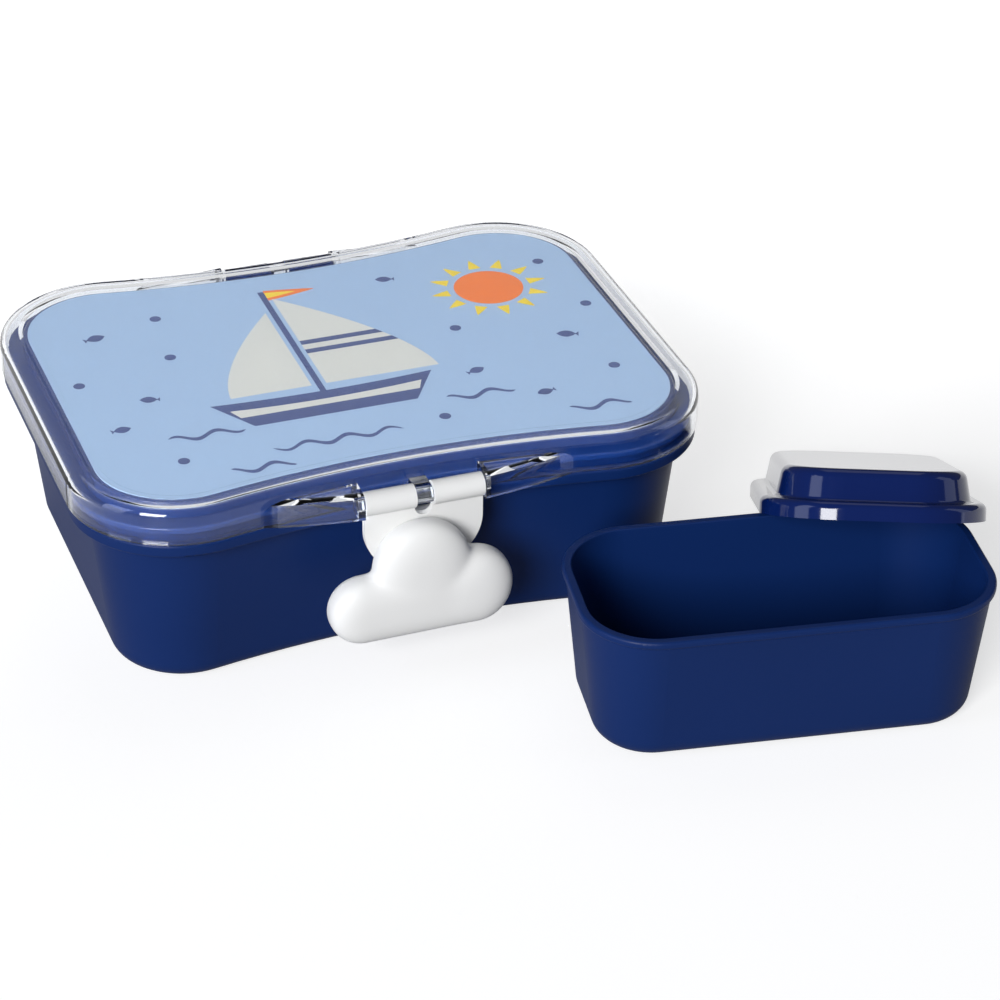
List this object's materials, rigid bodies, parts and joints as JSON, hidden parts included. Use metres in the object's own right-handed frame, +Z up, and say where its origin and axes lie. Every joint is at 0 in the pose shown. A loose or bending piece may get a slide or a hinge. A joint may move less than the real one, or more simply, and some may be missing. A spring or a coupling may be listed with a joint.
{
  "type": "lunch box",
  "caption": "Child's lunch box with a hinged clear lid over a picture card, a cloud-shaped front latch, and a snack container with its own lid.",
  "frame": {"origin": "middle of the lunch box's flat base, on the surface it stands on", "axes": "+Z up, +X right along the lunch box's length as seen from its latch, +Y from the latch to the hinge"},
  "size_m": [0.2676, 0.2269, 0.0639],
  "materials": {
    "navy_plastic": "satin moulded polypropylene",
    "navy_gloss": "glossy moulded polypropylene",
    "clear_plastic": "clear glossy moulded plastic",
    "picture_card": "printed card",
    "white_plastic": "satin white moulded plastic"
  },
  "bodies": {
    "lunch_box": {"tub": "navy_plastic"},
    "lid": {"lid_cover": "clear_plastic", "lid_liner": "navy_plastic", "picture_card": "picture_card", "latch_rod": "clear_plastic", "hinge_rod": "clear_plastic"},
    "latch": {"latch_clip": "white_plastic", "cloud_button": "white_plastic"},
    "snack_container": {"snack_tub": "navy_plastic"},
    "snack_container_lid": {"snack_lid": "navy_gloss"}
  },
  "joints": [
    {"name": "lid_hinge", "type": "hinge", "parent": "lunch_box", "child": "lid", "pos_m": [0, 0.0692, 0.054], "axis": [-1, 0, 0], "range_deg": [0, 110]},
    {"name": "latch_pivot", "type": "hinge", "parent": "lid", "child": "latch", "pos_m": [0, -0.0692, 0.054], "axis": [-1, 0, 0], "range_deg": [0, 100]},
    {"name": "snack_container_lift", "type": "slide", "parent": "lunch_box", "child": "snack_container", "axis": [0, 0, 1], "range_m": [0, 0.08]},
    {"name": "snack_lid_lift", "type": "slide", "parent": "snack_container", "child": "snack_container_lid", "axis": [0, 0, 1], "range_m": [0, 0.08]}
  ]
}
